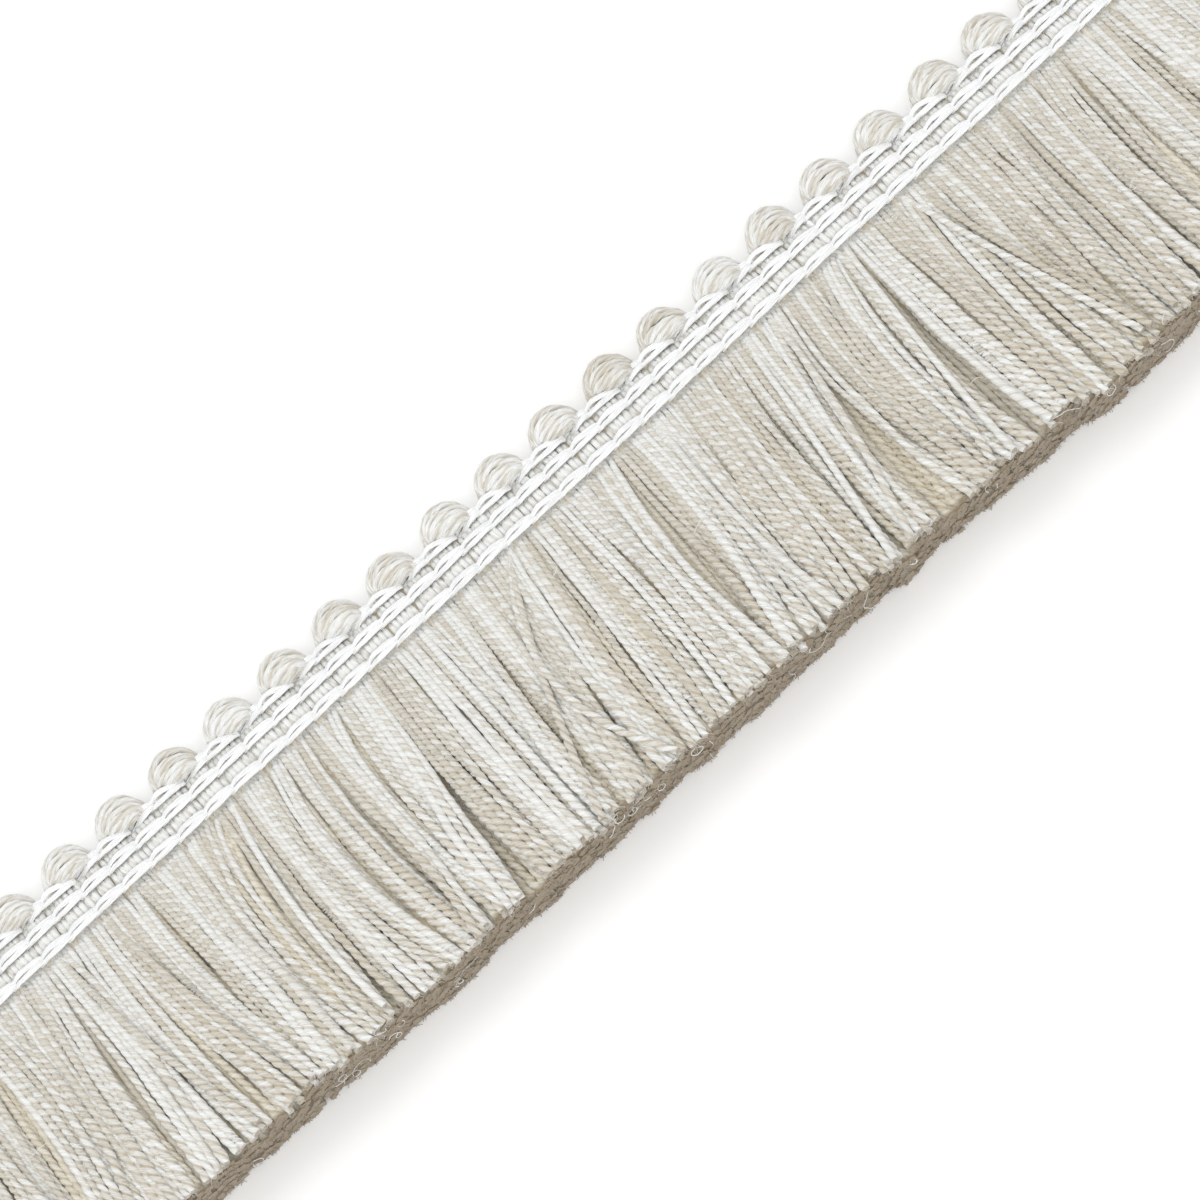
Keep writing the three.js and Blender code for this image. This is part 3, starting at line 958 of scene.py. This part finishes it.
def hair_threads():
    """Long pale hairs that have come out of the yarns, most of them at the cut face."""
    threads = Threads()
    for number in range(HAIR_COUNT):
        yarn = rng.choice(FRONT)
        station = STATIONS - 1 if number % 2 else rng.integers(2, STATIONS)
        start = np.array([SKIRT_X[station, yarn], SKIRT_Y[station, yarn], SKIRT_Z[station, yarn]])
        start[2] *= rng.uniform(0.2, 1) if station == STATIONS - 1 else 1
        heading = rng.uniform(0, 2 * math.pi)
        turning = rng.normal(0, 0.5)
        steps = np.zeros((HAIR_POINTS, 3))
        for step in range(1, HAIR_POINTS):
            heading += turning + rng.normal(0, 0.35)
            steps[step] = HAIR_STEP * (math.cos(heading), math.sin(heading), math.sin(heading))
        points = start + (0, 0, SKIRT_RADIUS[station, yarn]) + np.cumsum(steps, axis=0)
        points[:, 1] -= 0.15 if station == STATIONS - 1 else 0
        threads.add(points, HAIR_RADIUS, 0.0, (1, 1), 0.0)
    return threads


spin("cut_nap", nap_threads(), COTTON, sides=3, resolution=1)
spin("loose_hairs", hair_threads(), COTTON, sides=3, resolution=2)

# %% [markdown]
# The warp floats
#
# Over every column of the heading lies a float of two white warp threads, of three
# fine strands each. The table follows them from the left, where they come up, to
# the right, where they go down: how far each thread lies from the line of its row,
# and how far its strands are spread. They part in between, which leaves a small
# eye. In the edge row the floats also lean, down towards the middle of each scallop
# and up again between two scallops. The thread is mercerised, which makes it
# smoother and whiter than the yarns, so that the rows stand out.

# %% Warp
WARP_RADIUS = 0.15
WARP_TOP, WARP_DIP = 2.75, 2.2
WARP_STEPS = 9
WARP_LEAD = 5.0
WARP_GROOVE = 0.15
FLOAT = {
    "t": [-0.14, 0.05, 0.3, 0.6, 0.85, 1.06],
    "upper": [0.14, 0.28, 0.4, 0.31, 0.21, 0.12],
    "lower": [-0.2, -0.28, -0.31, -0.26, -0.22, -0.2],
    "spread": [0.06, 0.08, 0.12, 0.17, 0.17, 0.13],
}
BLEACHED_COTTON = cotton("mercerised_warp_thread",
                         white="#f8f9fa", natural="#eceeef", fibre_depth=0.02)


def float_lines(t, row, column):
    """How far each of the six threads of a float lies above the row's line."""
    parts = ("upper", "lower", "spread")
    upper, lower, spread = (np.interp(t, FLOAT["t"], FLOAT[part]) for part in parts)
    if row == "warp_row_edge":
        towards_middle = t if column % 2 == 0 else 1 - t
        upper = upper + lerp(0.2, -0.25, smooth(0.3, 1.0, towards_middle))
        lower = lower + lerp(0.1, -0.1, towards_middle)
    for middle in (upper, lower):
        for thread in (-1, 0, 1):
            yield middle + thread * spread, 0.04 * (thread == 0)


def warp_threads(row):
    low, high = box_mm(row)
    row_y = (low[1] + high[1]) / 2
    t = np.linspace(FLOAT["t"][0], FLOAT["t"][-1], WARP_STEPS)
    lift = smooth(-0.15, 0.2, t) * (1 - 0.15 * smooth(0.6, 1.0, t) - 0.8 * smooth(1.0, 1.06, t))
    threads = Threads()
    for column, middle in enumerate(COLUMN_X):
        lean = rng.normal(0.08, 0.04) * (t - 0.5) + rng.normal(0, 0.03)
        sunk = 0.0
        if row == "warp_row_edge" and column % 2:
            sunk = 0.8 * smooth(0.35, 0.8, 1 - t)
        for across, lifted in float_lines(t, row, column):
            x = middle + (t - 0.5) * COLUMN_PITCH
            z = lerp(WARP_DIP, WARP_TOP, lift) + lifted - sunk + rng.normal(0, 0.012)
            points = np.column_stack([x, row_y + across + lean, z])
            radius = WARP_RADIUS * rng.uniform(0.9, 1.1)
            tone = rng.uniform(0.3, 1.0)
            twist = twist_of(points, WARP_LEAD, WARP_LEAD, rng.uniform(0, 6))
            threads.add(points, radius, twist, (tone, tone), WARP_GROOVE)
    return threads


for row in WARP_ROWS:
    piece = spin(row + "_floats", warp_threads(row), BLEACHED_COTTON,
                 sides=5, resolution=1)
    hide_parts(row)

# %% [markdown]
# The scallops
#
# At the edge the bundle turns back in a half ring. The table gives its section on
# the way round: it is narrow where it rises on the left, and its inner side swells
# to a plump lump that leans over the warp where it comes down on the right. The
# strands wind slowly around the bundle as they go, and a thick one fills the inside.

# %% Scallops
RING_FOOT_Y = 15.7
RING_HALF_WIDTH = 3.15
STRAND_RADIUS = 0.38
STRANDS = 15
STRAND_WIND = math.radians(70)
STRAND_LEAD = 4.0
STRAND_GROOVE = 0.3
FILLING = 0.75
CREST_STANDS_PROUD = 0.25
ARCH_STEPS = 10
# Along the way of the bundle: its inner side, the heights of both sides, and its depth
RING = {
    "way": [-0.06, 0.12, 0.25, 0.4, 0.55, 0.7, 0.85, 1.0, 1.08],
    "x": [-1.7, -1.75, -1.9, -1.3, -0.5, 0.25, 1.15, 2.0, 2.3],
    "y": [-0.7, 0.5, 1.0, 0.75, 0.35, 0.08, 0.08, 0.2, -0.3],
    "inner_z": [0.9, 1.4, 1.8, 2.3, 2.7, 2.9, 2.9, 2.4, 1.2],
    "outer_z": [0.9, 1.4, 1.7, 1.8, 1.8, 1.8, 1.8, 1.6, 0.8],
    "depth": [0.5, 0.85, 1.0, 1.15, 1.2, 1.15, 1.0, 0.7, 0.4],
}


def scallop_strands(node_name):
    """The strands of one scallop and their thickness, and last the filling inside them."""
    low, high = box_mm(node_name)
    middle = (low[0] + high[0]) / 2
    rise = high[1] + CREST_STANDS_PROUD - RING_FOOT_Y - STRAND_RADIUS
    half = RING_HALF_WIDTH - STRAND_RADIUS
    way = np.linspace(RING["way"][0], RING["way"][-1], ARCH_STEPS)
    parts = ("x", "y", "inner_z", "outer_z", "depth")
    inner_x, inner_y, inner_z, outer_z, depth = (
        np.interp(way, RING["way"], RING[part]) for part in parts)
    lean, plump = rng.normal(0.2, 0.12), rng.normal(1, 0.05)
    outer_x = -half * np.cos(np.pi * way.clip(0, 1)) + lean * np.sin(np.pi * way).clip(0)
    outer_y = rise * np.sin(np.pi * way)
    for strand in range(STRANDS + 1):
        inside = strand == STRANDS
        angle = 2 * math.pi * (strand + rng.normal(0, 0.12)) / STRANDS - STRAND_WIND * way
        outwards = 0.5 + 0.5 * np.cos(angle) * (not inside)
        x = lerp(inner_x, outer_x, outwards)
        y = lerp(inner_y, outer_y, outwards)
        z = lerp(inner_z, outer_z, outwards) + depth * plump * np.sin(angle) * (not inside)
        radius = STRAND_RADIUS * rng.uniform(0.9, 1.1)
        if inside:
            radius = FILLING * np.minimum(depth, np.hypot(outer_x - inner_x, outer_y - inner_y) / 2)
        yield np.column_stack([middle + x, RING_FOOT_Y + y, np.maximum(z, radius)]), radius


def scallop_threads():
    threads = Threads()
    for name in SCALLOPS:
        shade = rng.normal(0.85, 0.1)
        for points, radius in scallop_strands(name):
            tone = shade + rng.normal(0, 0.2)
            twist = twist_of(points, STRAND_LEAD, STRAND_LEAD, rng.uniform(0, 6))
            threads.add(points, radius, twist, (tone, tone - 0.15), STRAND_GROOVE)
    return threads


ring_piece = spin("scallop_strands", scallop_threads(), COTTON, resolution=2)
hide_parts(*SCALLOPS)

# %% [markdown]
# The count of faces, and the two boxes that are compared after each render.

# %% Last lines
print(f"{sum(count for _, count in PIECES)} triangles in {len(PIECES)} pieces")
sizes = {"cad": CAD_BOX, "visual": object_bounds()}
{kind: [list(corner) for corner in box] for kind, box in sizes.items()}
